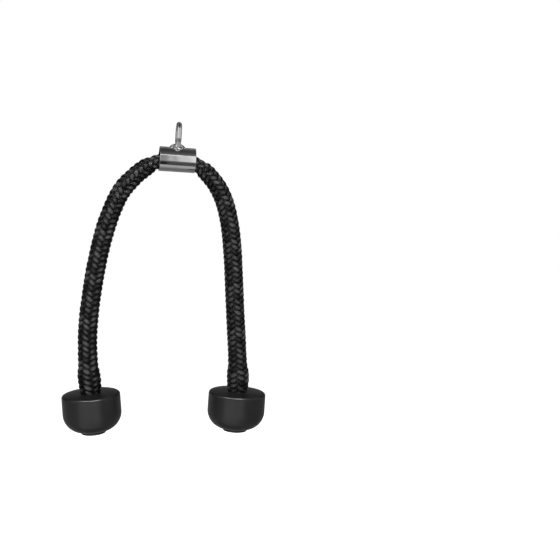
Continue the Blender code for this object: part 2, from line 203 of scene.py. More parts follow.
class Shader:
    """A material's node tree, built one node at a time."""

    def __init__(self, name: str) -> None:
        """Start a material with a Principled surface.

        Args:
            name: The material's name.
        """
        self.material = bpy.data.materials.new(name)
        self.material.use_nodes = True
        self.tree = self.material.node_tree
        self.surface = self.tree.nodes["Principled BSDF"]

    def node(self, kind: str, **settings: object) -> bpy.types.Node:
        """Add a node.

        Args:
            kind: The node's type.
            **settings: The node's properties, by name.

        Returns:
            The node.
        """
        made = self.tree.nodes.new(kind)
        for name, value in settings.items():
            setattr(made, name, value)
        return made

    def feed(self, socket: bpy.types.NodeSocket, value: object) -> None:
        """Give a socket its value.

        Args:
            socket: The socket that takes it.
            value: A number, a colour, or another socket, which is linked.
        """
        if isinstance(value, bpy.types.NodeSocket):
            self.tree.links.new(value, socket)
        elif isinstance(value, tuple):
            socket.default_value = (*value, 1)
        else:
            socket.default_value = value

    def dress(self, name: str, value: object) -> None:
        """Give an input of the surface its value.

        Args:
            name: The input's name.
            value: A number, a colour or a socket.
        """
        self.feed(self.surface.inputs[name], value)

    def maths(self, operation: str, *values: object) -> bpy.types.NodeSocket:
        """Add a Math node.

        Args:
            operation: The node's operation.
            *values: Numbers or sockets, in the order of its inputs.

        Returns:
            The result's socket.
        """
        made = self.node("ShaderNodeMath", operation=operation)
        for socket, value in zip(made.inputs, values):
            self.feed(socket, value)
        return made.outputs[0]

    def spread(self, value: bpy.types.NodeSocket, low: float, high: float) -> bpy.types.NodeSocket:
        """Map a value from 0..1 to a range.

        Args:
            value: The value's socket.
            low: What 0 becomes.
            high: What 1 becomes.

        Returns:
            The result's socket.
        """
        return self.maths("MULTIPLY_ADD", value, high - low, low)

    def attribute(self, name: str) -> bpy.types.NodeSocket:
        """The value of a mesh attribute.

        Args:
            name: The attribute's name.

        Returns:
            The value's socket.
        """
        return self.node("ShaderNodeAttribute", attribute_name=name).outputs["Fac"]

    def noise(self, scale: float, detail: float, stretch: Triple = (1, 1, 1)) -> bpy.types.NodeSocket:
        """A noise texture fixed to the piece.

        Args:
            scale: How many features lie in a metre.
            detail: How many octaves it has.
            stretch: A scale for each axis.

        Returns:
            The noise's socket.
        """
        mapping = self.node("ShaderNodeMapping")
        mapping.inputs["Scale"].default_value = stretch
        self.feed(mapping.inputs["Vector"], self.node("ShaderNodeTexCoord").outputs["Object"])
        texture = self.node("ShaderNodeTexNoise")
        self.feed(texture.inputs["Scale"], scale)
        self.feed(texture.inputs["Detail"], detail)
        self.feed(texture.inputs["Vector"], mapping.outputs["Vector"])
        return texture.outputs["Fac"]

    def ramp(self, value: bpy.types.NodeSocket, edges: Pair, dark: Colour, light: Colour,
             ) -> bpy.types.NodeSocket:
        """Map a value to a colour.

        Args:
            value: The value's socket.
            edges: The values at which the colour is all dark and all light.
            dark: The colour at the first edge.
            light: The colour at the second edge.

        Returns:
            The colour's socket.
        """
        made = self.node("ShaderNodeValToRGB")
        for element, place, colour in zip(made.color_ramp.elements, edges, (dark, light)):
            element.position = place
            element.color = (*colour, 1)
        self.feed(made.inputs["Fac"], value)
        return made.outputs["Color"]

    def bump(self, height: bpy.types.NodeSocket, depth: float) -> None:
        """Bump the surface.

        Args:
            height: A socket whose value goes from 0 to 1.
            depth: How deep it is, in metres.
        """
        made = self.node("ShaderNodeBump")
        self.feed(made.inputs["Distance"], depth)
        self.feed(made.inputs["Height"], height)
        self.dress("Normal", made.outputs["Normal"])


@dataclass(frozen=True)
class ChromePlate:
    """Bright chrome on drawn tube or bent rod, a little wavy under the plate."""

    name: str = "chrome_plate"
    colour: Colour = (0.72, 0.72, 0.73)
    roughness: Pair = (0.06, 0.13)
    smudge_scale: float = 300.0
    wave_scale: float = 150.0
    wave_depth: float = 0.0001
    wave_stretch: Triple = (0.16, 1.0, 1.0)

    def build(self) -> bpy.types.Material:
        """The material."""
        shader = Shader(self.name)
        shader.dress("Base Color", self.colour)
        shader.dress("Metallic", 1)
        smudge = shader.noise(self.smudge_scale, detail=5.0)
        shader.dress("Roughness", shader.spread(smudge, *self.roughness))
        wave = shader.noise(self.wave_scale, detail=1.0, stretch=self.wave_stretch)
        shader.bump(wave, self.wave_depth)
        return shader.material


@dataclass(frozen=True)
class GrainedMetal:
    """Metal whose shade, polish and relief all follow one grain."""

    name: str
    light: Colour
    dark: Colour
    edges: Pair
    metallic: float
    roughness: Pair
    grain_scale: float
    grain_detail: float
    grain_depth: float

    def build(self) -> bpy.types.Material:
        """The material."""
        shader = Shader(self.name)
        grain = shader.noise(self.grain_scale, self.grain_detail)
        # On the weld the dark end of this ramp is painted shade in the pits and the light end painted glints
        # on the crests.
        shader.dress("Base Color", shader.ramp(grain, self.edges, self.dark, self.light))
        shader.dress("Metallic", self.metallic)
        shader.dress("Roughness", shader.spread(grain, *self.roughness))
        shader.bump(grain, self.grain_depth)
        return shader.material


# A weld bead under chrome, rippled by its grain: the colour is painted near black in the grain's pits,
# painted shade, and near white on its crests, painted glints.
PLATED_WELD_PAINTED_LIGHT = GrainedMetal(
    name="plated_weld", light=(0.92, 0.92, 0.92), dark=(0.06, 0.06, 0.062), edges=(0.42, 0.56),
    metallic=0.65, roughness=(0.1, 0.3), grain_scale=330.0, grain_detail=4.0, grain_depth=0.0003)

# Plain pressed sheet under a dull zinc skin, with a fine mottle.
PRESSED_STEEL = GrainedMetal(
    name="pressed_steel", light=(0.62, 0.63, 0.62), dark=(0.46, 0.47, 0.46), edges=(0.3, 0.7),
    metallic=0.5, roughness=(0.3, 0.5), grain_scale=400.0, grain_detail=5.0, grain_depth=0.0001)


@dataclass(frozen=True)
class MouldedRubber:
    """Black moulded rubber with a satin skin and a fine grain."""

    name: str = "black_rubber"
    light: Colour = (0.02, 0.02, 0.0205)
    dark: Colour = (0.0165, 0.0165, 0.017)
    edges: Pair = (0.35, 0.65)
    roughness: Pair = (0.27, 0.295)
    specular: float = 0.3
    patch_scale: float = 45.0
    grain_scale: float = 2600.0
    grain_depth: float = 0.000012

    def build(self) -> bpy.types.Material:
        """The material."""
        shader = Shader(self.name)
        patch = shader.noise(self.patch_scale, detail=4.0)
        shader.dress("Base Color", shader.ramp(patch, self.edges, self.dark, self.light))
        shader.dress("Specular IOR Level", self.specular)
        shader.dress("Roughness", shader.spread(patch, *self.roughness))
        shader.bump(shader.noise(self.grain_scale, detail=2.0), self.grain_depth)
        return shader.material


@dataclass(frozen=True)
class BlackBraid:
    """Bundles of black filament with fine yarns along each strand; painted shade darkens the colour from
    each crest down to near black in the grooves between strands.
    """

    name: str = "black_braid"
    top: Colour = (0.119, 0.119, 0.12)
    # Near black where strands meet: painted shade in the grooves.
    painted_groove_shade: Colour = (0.001, 0.001, 0.001)
    edges: Pair = (0.6, 1.0)
    tint_range: Pair = (0.7, 1.0)
    yarn_painted_shade_range: Pair = (0.85, 1.0)
    roughness: float = 0.38
    specular: float = 0.12
    yarns_in_strand: float = 7.0
    yarn_depth: float = 0.00022
    yarn_wander: float = 1.1
    wander_stretch: float = 6.0
    fuzz_scale: float = 2200.0
    fuzz_share: float = 0.5

    def build(self) -> bpy.types.Material:
        """The material."""
        shader = Shader(self.name)
        wander = shader.noise(self.fuzz_scale / self.wander_stretch, detail=2.0)
        wander = shader.maths("MULTIPLY", wander, self.yarn_wander)
        turns = shader.maths("MULTIPLY_ADD", shader.attribute("across"), self.yarns_in_strand * 2 * pi,
                             wander)
        yarn = shader.maths("MULTIPLY_ADD", shader.maths("SINE", turns), 0.5, 0.5)
        tint = shader.spread(shader.attribute("tint"), *self.tint_range)
        # Painted shade: by the surface's height, the colour falls from the crest's colour to near black in
        # the grooves.
        shade = shader.maths("MULTIPLY", shader.attribute("relief"), tint)
        # Painted shade in the creases between yarns: the colour dips where the yarn bump dips.
        shade = shader.maths("MULTIPLY", shade, shader.spread(yarn, *self.yarn_painted_shade_range))
        shader.dress("Base Color", shader.ramp(shade, self.edges, self.painted_groove_shade, self.top))
        shader.dress("Roughness", self.roughness)
        shader.dress("Specular IOR Level", self.specular)
        fuzz = shader.maths("MULTIPLY", shader.noise(self.fuzz_scale, detail=3.0), self.fuzz_share)
        shader.bump(shader.maths("ADD", yarn, fuzz), self.yarn_depth)
        return shader.material


@dataclass(frozen=True)
class RopeRoute:
    """The rope's centre line, by its length from the sleeve's middle: below zero on the left.

    It is laid through pairs of X and height over the sleeve's axis.
    """

    left: tuple[Pair, ...] = (
        (-0.1016, -0.3302), (-0.1033, -0.3163), (-0.1053, -0.3039), (-0.1072, -0.2860),
        (-0.1095, -0.2522), (-0.1088, -0.2184), (-0.1061, -0.1844), (-0.1020, -0.1503),
        (-0.0962, -0.1162), (-0.0878, -0.0829), (-0.0775, -0.0552), (-0.0696, -0.0415),
        (-0.0602, -0.0302), (-0.0500, -0.0197), (-0.0379, -0.0105), (-0.0247, -0.0037),
    )
    middle: tuple[Pair, ...] = ((-0.0120, -0.0017), (0.0, -0.0010), (0.0120, -0.0015))
    right: tuple[Pair, ...] = (
        (0.0247, -0.0040), (0.0373, -0.0118), (0.0484, -0.0219), (0.0578, -0.0331),
        (0.0652, -0.0456), (0.0714, -0.0600), (0.0793, -0.0887), (0.0845, -0.1201),
        (0.0883, -0.1519), (0.0916, -0.1835), (0.0950, -0.2148), (0.0986, -0.2459),
        (0.1020, -0.2770), (0.1036, -0.2945), (0.1046, -0.3077), (0.1046, -0.3217),
    )
    steps: int = 64
    mouth: float = 0.0247
    direction_step: float = 0.001
    points: np.ndarray = field(init=False, repr=False)
    stations: np.ndarray = field(init=False, repr=False)

    def __post_init__(self) -> None:
        """Lay the smooth curve through the route's points."""
        pairs = self.left + self.middle + self.right
        knots = np.array([(x, 0, z - EYE_RISE) for x, z in pairs])
        padded = np.vstack([2 * knots[0] - knots[1], knots, 2 * knots[-1] - knots[-2]])
        t = (np.arange(self.steps) / self.steps)[:, None]
        runs = []
        for a, b, c, d in zip(padded, padded[1:], padded[2:], padded[3:]):
            gaps = [sqrt(np.linalg.norm(there - here)) for here, there in ((a, b), (b, c), (c, d))]
            leave = gaps[1] * ((b - a) / gaps[0] - (c - a) / (gaps[0] + gaps[1])) + (c - b)
            arrive = gaps[1] * ((d - c) / gaps[2] - (d - b) / (gaps[1] + gaps[2])) + (c - b)
            towards = 3 * t ** 2 - 2 * t ** 3
            runs.append(b + (c - b) * towards + leave * (t ** 3 - 2 * t ** 2 + t)
                        + arrive * (t ** 3 - t ** 2))
        points = np.vstack([*runs, knots[-1:]])
        lengths = np.concatenate([[0], np.cumsum(np.linalg.norm(np.diff(points, axis=0), axis=1))])
        middle = np.argmin(np.abs(points[:, 0]))
        object.__setattr__(self, "points", points)
        object.__setattr__(self, "stations", lengths - lengths[middle])

    def top_of_stopper(self, side: Side) -> float:
        """The station where the rope goes into a stopper.

        Args:
            side: The side that the stopper hangs on.
        """
        return float(self.stations[0] if side is Side.LEFT else self.stations[-1])

    def end_direction(self, side: Side) -> np.ndarray:
        """The direction in which the rope goes into a stopper.

        Args:
            side: The side that the stopper hangs on.
        """
        last, before = (0, 1) if side is Side.LEFT else (-1, -2)
        along = self.points[last] - self.points[before]
        return along / np.linalg.norm(along)

    def at(self, station: np.ndarray) -> np.ndarray:
        """Points at stations. Past either end the line goes straight on, into the stopper.

        Args:
            station: Lengths from the sleeve's middle.

        Returns:
            One point for each.
        """
        station = np.atleast_1d(np.asarray(station, float))
        found = np.stack([np.interp(station, self.stations, self.points[:, axis]) for axis in range(3)],
                         axis=-1)
        for side in Side:
            past = np.maximum(side.value * (station - self.top_of_stopper(side)), 0)
            found += past[:, None] * self.end_direction(side)
        return found

    def direction(self, station: np.ndarray) -> np.ndarray:
        """Unit vectors along the line, towards +X.

        Args:
            station: Lengths from the sleeve's middle.

        Returns:
            One vector for each.
        """
        along = self.at(station + self.direction_step) - self.at(station - self.direction_step)
        return along / np.linalg.norm(along, axis=1, keepdims=True)

    def mouth_station(self, side: Side) -> float:
        """The station where the rope leaves the sleeve.

        Args:
            side: The side that it leaves on.
        """
        outside = self.stations[side.value * self.points[:, 0] >= self.mouth]
        return float(outside.max() if side is Side.LEFT else outside.min())


@dataclass
class BraidedRope:
    """The rope: 16 strands, half of them wound each way, each passing over two and under two.

    Each way of winding has its own lead, which sets where its strands come to the top. The squeeze and
    the swell are pairs of distance, in rope diameters, and share of the radius.
    """

    route: RopeRoute
    diameter: float = 0.0264
    carriers_each_way: int = 8
    lay_length: float = 0.062
    crossings_in_repeat: int = 4
    leads: Pair = (0.5, 2.5)
    strand_half_width: float = 0.51
    strand_rise: float = 0.0019
    strand_weave: float = 0.0014
    crest_spread: float = 0.0004
    crest_seeds: Pair = (7.31, 3.17)
    envelope_lift: float = 0.0004
    seam: float = 0.015
    bend_start: float = 0.004
    bend_end: float = 0.120
    run_in_stopper: float = 0.0558
    braid_in_stopper: float = 0.008
    squeeze_at_mouth: tuple[Pair, ...] = (
        (-1.0, 0.86), (-0.3, 0.73), (0.3, 0.725), (0.65, 0.91), (1.1, 0.94), (2.3, 0.975), (4.5, 1.0))
    swell_at_stopper: tuple[Pair, ...] = (
        (0.0, 1.02), (0.12, 1.1), (0.35, 1.18), (0.75, 1.21), (0.95, 1.195), (1.55, 1.03), (2.3, 1.01),
        (6.5, 1.0))
    ring_step: float = 0.00075
    points_round: int = 144
    path_points: int = 90
    square_run: float = 0.008
    finish: BlackBraid = BlackBraid()

    def radius(self, station: np.ndarray) -> np.ndarray:
        """The rope's radius: squeezed at the sleeve's mouth, swollen above a stopper.

        Args:
            station: Lengths from the sleeve's middle.

        Returns:
            One radius for each.
        """
        radius = np.full_like(station, self.diameter / 2)
        for side in Side:
            here = side.value * station >= 0
            past_mouth = side.value * (station - self.route.mouth_station(side)) / self.diameter
            above = side.value * (self.route.top_of_stopper(side) - station) / self.diameter
            shaped = eased(self.squeeze_at_mouth, past_mouth) * eased(self.swell_at_stopper, above)
            radius = np.where(here, self.diameter / 2 * shaped, radius)
        return radius

    def weave(self, angle: np.ndarray, station: np.ndarray) -> tuple[np.ndarray, ...]:
        """The braid's surface, from the strand that lies on top at each place.

        Args:
            angle: Angles round the rope.
            station: Lengths along it.

        Returns:
            The height of the surface, the place across the top strand, and a chance value from 0 to 1
            for each crest.
        """
        turn, pitch = angle / (2 * pi), station / self.lay_length
        windings = ((turn - pitch, turn + pitch), (turn + pitch, turn - pitch))
        heights, acrosses, chances = [], [], []
        for (own, other), lead in zip(windings, self.leads):
            place = own * self.carriers_each_way
            number = np.round(place)
            across = place - number
            along = (other * self.carriers_each_way + number - lead) / self.crossings_in_repeat
            bulge = np.sqrt(np.clip(1 - (across / self.strand_half_width) ** 2, 0, 1))
            chance = chance_of(np.round(along) * self.crest_seeds[0]
                               + np.mod(number, self.carriers_each_way) * self.crest_seeds[1] + lead)
            heights.append(self.strand_weave * np.cos(2 * pi * along) + self.strand_rise * bulge
                           + self.crest_spread * (chance - 0.5))
            acrosses.append(across)
            chances.append(chance)
        first = heights[0] > heights[1]
        return tuple(np.where(first, *pair) for pair in (heights, acrosses, chances))

    def stations_between(self, start: float, end: float) -> np.ndarray:
        """Even stations from one place to another.

        Args:
            start: The first station.
            end: The last one.

        Returns:
            The stations, about a ring's step apart.
        """
        count = max(2, round(abs(end - start) / self.ring_step))
        return np.linspace(start, end, count + 1)

    def build_stretch(self, name: str, stations: np.ndarray, flat_ends: tuple[float, ...],
                      ) -> bpy.types.Object:
        """Build the braid along a run of stations.

        Args:
            name: The piece's name.
            stations: Where its rings lie.
            flat_ends: Stations at which a ring stands square to the sleeve.

        Returns:
            The piece.
        """
        centre = self.route.at(stations)
        along = self.route.direction(stations)
        upright = np.stack([-along[:, 2], np.zeros(len(stations)), along[:, 0]], axis=-1)
        for flat in flat_ends:
            share = np.clip(1 - np.abs(stations - flat) / self.square_run, 0, 1)[:, None]
            upright = upright * (1 - share) + np.array((0, 0, 1)) * share
        upright /= np.linalg.norm(upright, axis=1, keepdims=True)
        angle = np.arange(self.points_round) * 2 * pi / self.points_round
        height, across, tint = self.weave(angle[None, :], stations[:, None])
        crest = self.strand_rise + self.strand_weave
        radius = self.radius(stations)[:, None]
        reach = radius + self.envelope_lift + height - crest
        inside = self.run_past_hole(stations)[:, None]
        reach = reach * (1 - inside) + (radius - FIT_GAP) * inside
        grid = (centre[:, None, :] + upright[:, None, :] * (reach * np.cos(angle))[..., None]
                + np.array((0, 1, 0)) * (reach * np.sin(angle))[..., None])
        if stations[-1] > stations[0]:
            grid, across, tint, height = (block[:, ::-1] for block in (grid, across, tint, height))
        piece = MeshMaker.from_grid(name, grid, wrap_columns=True, caps=True)
        # The surface's height, which the braid's material turns into painted shade in the grooves.
        self.write(piece, "relief", np.clip(height / crest, 0, 1))
        self.write(piece, "across", across)
        self.write(piece, "tint", tint)
        piece.data.materials.append(self.finish_material())
        return piece

    def run_past_hole(self, stations: np.ndarray) -> np.ndarray:
        """How far the rope is squeezed smooth inside a stopper.

        Args:
            stations: Lengths from the sleeve's middle.

        Returns:
            From 0 on the free rope to 1 where it is smooth.
        """
        past = np.maximum(stations - self.route.top_of_stopper(Side.RIGHT),
                          self.route.top_of_stopper(Side.LEFT) - stations)
        half = self.braid_in_stopper / 2
        return np.clip((past - half) / half, 0, 1)

    def finish_material(self) -> bpy.types.Material:
        """The braid's material, made once."""
        return bpy.data.materials.get(self.finish.name) or self.finish.build()

    @staticmethod
    def write(piece: bpy.types.Object, name: str, values: np.ndarray) -> None:
        """Store a value for each point of a grid piece, and none for its two cap centres.

        Args:
            piece: The piece.
            name: The attribute's name.
            values: The values, in the order of the grid.
        """
        flat = np.zeros(len(piece.data.vertices), np.float32)
        flat[:values.size] = values.reshape(-1)
        attribute = piece.data.attributes.new(name, "FLOAT", "POINT")
        attribute.data.foreach_set("value", flat)

    def build_middle(self) -> bpy.types.Object:
        """The stretch inside the sleeve, which stays with it."""
        end = self.seam - FIT_GAP / 2
        piece = self.build_stretch("braid_in_sleeve", self.stations_between(-end, end), (-end, end))
        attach(piece, "sleeve")
        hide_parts("rope_in_sleeve")
        return piece

    def build_side(self, side: Side) -> bpy.types.Object:
        """One hanging side, from inside the sleeve to the end cup.

        Args:
            side: The side to build.

        Returns:
            The piece.
        """
        start = side.value * (self.seam + FIT_GAP / 2)
        top = self.route.top_of_stopper(side)
        hole = top + side.value * self.braid_in_stopper
        end = top + side.value * self.run_in_stopper
        stations = np.concatenate([self.stations_between(start, hole), [end]])
        piece = self.build_stretch(f"{side.word}_braid", stations, (start,))
        mouth_station = self.route.mouth_station(side)
        mouth = self.route.at(mouth_station)[0]
        bend_start = self.route.at(mouth_station + side.value * self.bend_start)[0]
        bend_end = self.route.at(side.value * self.bend_end)[0]
        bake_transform(piece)
        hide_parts(f"{side.word}_rope_bend", f"{side.word}_rope_leg")
        path = self.route.at(np.linspace(start, end, self.path_points))
        return piece

    def build(self) -> list[bpy.types.Object]:
        """Build the whole rope."""
        return [self.build_middle(), *(self.build_side(side) for side in Side)]


@dataclass
class Sleeve:
    """The chromed tube, the closed link that stands on it, and the weld round the link's foot.

    The weld's edge wobbles and its face is rippled, and both follow the turn round the link.
    """

    diameter: float = 0.0337
    length: float = 0.0494
    wall: float = 0.0016
    edge_round: float = 0.0006
    rod_diameter: float = 0.007
    gap_width: float = 0.013
    bend_steps: int = 48
    rod_sides: int = 48
    weld_span: float = 0.0272
    weld_reach: float = 0.0214
    weld_climb: float = 0.005
    weld_toe_span: float = 0.0104
    weld_toe_reach: float = 0.0097
    weld_left_stretch: float = 1.18
    weld_core_share: float = 0.12
    weld_sink_share: float = 0.86
    weld_steps_round: int = 96
    weld_steps_out: int = 24
    wobble_heights: Pair = (0.05, 0.03)
    wobble_counts: tuple[int, int] = (3, 7)
    wobble_start: float = 0.7
    ripple_count: int = 13
    ripple_height: float = 0.0005
    ripple_middle: float = 0.4
    ripple_sway: float = 0.5
    ripple_sway_count: int = 4
    ripple_lean: float = 1.2
    edge_steps: int = 6
    segments: int = 192
    chrome: ChromePlate = ChromePlate()
    weld: GrainedMetal = PLATED_WELD_PAINTED_LIGHT

    @property
    def radius(self) -> float:
        """The tube's outer radius."""
        return self.diameter / 2

    def build_tube(self) -> bpy.types.Object:
        """The tube, with broken edges."""
        half, bore, broken = self.length / 2, self.radius - self.wall, self.edge_round
        corners = (
            (self.radius - broken, half - broken, pi / 2, 0),
            (self.radius - broken, broken - half, 0, -pi / 2),
            (bore + broken, broken - half, -pi / 2, -pi),
            (bore + broken, half - broken, pi, pi / 2),
        )
        profile: list[Pair] = []
        for radius, height, start, end in corners:
            profile += MeshMaker.arc((radius, height), broken, start, end, self.edge_steps)
        place = Matrix.Translation(SLEEVE_CENTRE) @ Matrix.Rotation(pi / 2, 4, "Y")
        return MeshMaker.turned("chrome_sleeve", profile, self.segments, place, closed=True)

    def build_eye(self) -> bpy.types.Object:
        """The closed link: two half turns and the straight sides between them."""
        rod, bend = self.rod_diameter / 2, (self.gap_width + self.rod_diameter) / 2
        top_bend = -self.gap_width / 2
        foot_bend = SLEEVE_CENTRE.z + self.radius + FIT_GAP + rod + bend
        around = np.arange(self.rod_sides) * 2 * pi / self.rod_sides
        rings = []
        for centre, start in ((top_bend, 0.0), (foot_bend, pi)):
            for step in range(self.bend_steps + 1):
                tilt = start + pi * step / self.bend_steps
                reach = bend + rod * np.cos(around)
                rings.append(np.stack([rod * np.sin(around), reach * cos(tilt), centre + reach * sin(tilt)],
                                      axis=-1))
        return MeshMaker.from_grid("chrome_eye", np.stack(rings), wrap_rows=True, wrap_columns=True)

    def build_weld(self, name: str, side: int) -> bpy.types.Object:
        """Half of the mound round the link's foot, lumpy as it was laid.

        Args:
            name: The piece's name.
            side: -1 for the front half and 1 for the rear.

        Returns:
            The piece.
        """
        turn = np.linspace(0, pi, self.weld_steps_round + 1)[:, None]
        share = np.linspace(self.weld_core_share, 1.0, self.weld_steps_out + 1)[None, :]
        slow, quick = self.wobble_heights
        slow_count, quick_count = self.wobble_counts
        wobble = (1 + slow * np.sin(slow_count * turn + self.wobble_start)
                  + quick * np.sin(quick_count * turn + 2 * side))
        stretch = 1 + (self.weld_left_stretch - 1) * np.maximum(-np.cos(turn), 0)
        x = self.weld_toe_span * stretch * wobble * share * np.cos(turn)
        y = side * self.weld_toe_reach * wobble * share * np.sin(turn)
        half_span, half_reach = self.weld_span / 2, self.weld_reach / 2
        inside = 1 - (x / (half_span * stretch)) ** 2 - (y / half_reach) ** 2
        mound = self.radius + self.weld_climb + half_span * (np.sqrt(np.clip(inside, 0, 1)) - 1)
        back = np.sqrt(self.radius ** 2 - y ** 2)
        sway = self.ripple_sway * np.sin(self.ripple_sway_count * turn)
        ripple = np.abs(np.sin(turn * self.ripple_count / 2 + sway + share * self.ripple_lean))
        lump = self.ripple_height * (ripple - self.ripple_middle) * np.sin(pi * share)
        sink = np.clip((share - self.weld_sink_share) / (1 - self.weld_sink_share), 0, 1)
        top = np.maximum(mound, back) + lump
        top = top * (1 - sink) + (back - self.wall / 3) * sink
        upper = np.stack([x, y, top], axis=-1)
        under = np.stack([x, y, back - self.wall / 2], axis=-1)[:, ::-1]
        grid = np.concatenate([upper, under], axis=1) + np.array(SLEEVE_CENTRE)
        if side < 0:
            grid = grid[:, ::-1]
        return MeshMaker.from_grid(name, grid, wrap_columns=True, caps=True)

    def build(self) -> list[bpy.types.Object]:
        """Build and dress the sleeve, the link and the weld's two halves."""
        chrome, weld = self.chrome.build(), self.weld.build()
        plan = (
            (self.build_tube(), "sleeve_tube", "chrome", chrome),
            (self.build_eye(), "eye_loop", "chrome", chrome),
            (self.build_weld("front_weld", -1), "eye_weld_front", "weld", weld),
            (self.build_weld("rear_weld", 1), "eye_weld_rear", "weld", weld),
        )
        for piece, node, slot, material in plan:
            piece.data.materials.append(material)
            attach(piece, "sleeve")
            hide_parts(node)
        return [entry[0] for entry in plan]


@dataclass
class Stopper:
    """A rubber stopper, with the steel cup that shows in its boss."""

    route: RopeRoute
    side: Side
    diameter: float = 0.0816
    top_diameter: float = 0.0812
    crown: float = 0.0012
    rim_round: float = 0.0034
    widest_depth: float = 0.0285
    body_height: float = 0.0543
    dome_flat_share: float = 0.85
    hole_radius: float = 0.01376
    hole_round: float = 0.001
    boss_diameter: float = 0.0346
    boss_height: float = 0.0033
    boss_round: float = 0.0008
    cup_radius: float = 0.01526
    cup_depth: float = 0.020
    cup_proud: float = 0.0005
    cup_round: float = 0.0008
    cup_floor: float = 0.002
    cup_hub: float = 0.0005
    dish_depth: float = 0.0003
    dish_shares: Pair = (0.8, 0.78)
    rim_steps: int = 10
    belly_steps: int = 9
    dome_steps: int = 28
    crown_steps: int = 12
    edge_steps: int = 6
    segments: int = 192

    @property
    def place(self) -> Matrix:
        """Where the stopper sits: its top face's middle, with +Z back along the rope."""
        up = Vector(-self.route.end_direction(self.side))
        turn = Vector((0, 0, 1)).rotation_difference(up).to_matrix().to_4x4()
        top = self.route.at(self.route.top_of_stopper(self.side))[0]
        return Matrix.Translation(top) @ turn

    def outline(self) -> list[Pair]:
        """The rubber's outer side, from the rim to the boss's lower edge."""
        rim = self.top_diameter / 2
        rim_centre = (rim - self.rim_round, -self.crown - self.rim_round)
        outline = MeshMaker.arc(rim_centre, self.rim_round, pi / 2, 0, self.rim_steps)
        belly = self.diameter / 2 - rim
        drop = self.widest_depth + rim_centre[1]
        for step in range(1, self.belly_steps):
            share = step / self.belly_steps
            outline.append((rim + belly * sin(share * pi / 2), rim_centre[1] - share * drop))
        flat = self.boss_diameter * self.dome_flat_share / 2
        width = self.diameter / 2 - flat
        height = self.body_height - self.widest_depth
        meets_boss = acos((self.boss_diameter / 2 - flat) / width)
        for step in range(self.dome_steps + 1):
            angle = meets_boss * step / self.dome_steps
            outline.append((flat + width * cos(angle), -self.widest_depth - height * sin(angle)))
        foot = -self.body_height - self.boss_height
        edge_centre = (self.boss_diameter / 2 - self.boss_round, foot + self.boss_round)
        outline += MeshMaker.arc(edge_centre, self.boss_round, 0, -pi / 2, self.edge_steps)
        return outline

    def top_face(self) -> list[Pair]:
        """The crowned top face, from the hole outward to the rim."""
        inner = self.hole_radius + self.hole_round
        outer = self.top_diameter / 2 - self.rim_round
        face = MeshMaker.arc((inner, -self.hole_round), self.hole_round, pi, pi / 2, self.edge_steps)
        for step in range(1, self.crown_steps):
            share = step / self.crown_steps
            face.append((inner + (outer - inner) * share, -self.crown * share ** 2))
        return face

    def build_rubber(self) -> bpy.types.Object:
        """The rubber moulding."""
        foot = -self.body_height - self.boss_height
        shoulder = foot - self.cup_proud + self.cup_depth
        cup_bore = self.cup_radius + FIT_GAP
        profile = [
            *self.outline(),
            (cup_bore, foot),
            (cup_bore, shoulder),
            (self.hole_radius, shoulder),
            *self.top_face(),
        ]
        return MeshMaker.turned(f"{self.side.word}_rubber", profile, self.segments, self.place, closed=True)

    def build_cup(self) -> bpy.types.Object:
        """The steel cup on the rope's end."""
        bottom = -self.body_height - self.boss_height - self.cup_proud
        edge_centre = (self.cup_radius - self.cup_round, bottom + self.cup_round)
        dish_edge, dish_floor = self.dish_shares
        profile = [
            (self.cup_hub, bottom + self.cup_floor),
            (self.hole_radius, bottom + self.cup_floor),
            (self.hole_radius, bottom + self.cup_depth),
            (self.cup_radius, bottom + self.cup_depth),
            *MeshMaker.arc(edge_centre, self.cup_round, 0, -pi / 2, self.edge_steps),
            (self.cup_radius * dish_edge, bottom),
            (self.cup_radius * dish_floor, bottom + self.dish_depth),
            (self.cup_hub, bottom + self.dish_depth),
        ]
        return MeshMaker.turned(f"{self.side.word}_cup", profile, self.segments, self.place, closed=False)

    def build(self, rubber: bpy.types.Material, steel: bpy.types.Material) -> list[bpy.types.Object]:
        """Build and dress the stopper.

        Args:
            rubber: The moulding's material.
            steel: The cup's and the washer's material.

        Returns:
            The rubber and the cup.
        """
        moulding, cup = self.build_rubber(), self.build_cup()
        plan = ((moulding, "stopper", "stopper_rubber", rubber), (cup, "end_cup", "pressed_steel", steel))
        for piece, node, slot, material in plan:
            piece.data.materials.append(material)
            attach(piece, f"{self.side.word}_leg")
            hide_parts(f"{self.side.word}_{node}")
        washer = bpy.data.objects[f"{self.side.word}_seat_washer"]
        for place in washer.material_slots:
            place.material = steel
        return [moulding, cup]


class Shine(Enum):
    """Where a lamp shows in shine. A lamp for the soft pieces lights nothing but their shine."""

    NOWHERE = "nowhere"
    SOFT_PIECES = "rubber and rope"


@dataclass(frozen=True)
class SoftBox:
    """A studio lamp: where it stands, how wide it is, how strong, and where it shows in shine."""

    name: str
    place: Triple
    size: Pair
    power: float
    shine: Shine = Shine.NOWHERE

    def build(self, aim: Vector, steel: bpy.types.Collection) -> None:
        """Set the lamp up.

        Args:
            aim: The point that it faces.
            steel: The plated pieces, which a lamp for the soft pieces leaves out.
        """
        data = bpy.data.lights.new(self.name, "AREA")
        data.shape = "RECTANGLE"
        data.size, data.size_y = self.size
        data.energy = self.power
        lamp = bpy.data.objects.new(self.name, data)
        lamp.location = self.place
        shows = self.shine is Shine.SOFT_PIECES
        lamp.visible_camera = False
        lamp.visible_glossy = shows
        lamp.visible_diffuse = not shows
        if shows:
            lamp.light_linking.receiver_collection = steel
        lamp.rotation_euler = (aim - Vector(self.place)).to_track_quat("-Z", "Y").to_euler()
        bpy.context.scene.collection.objects.link(lamp)


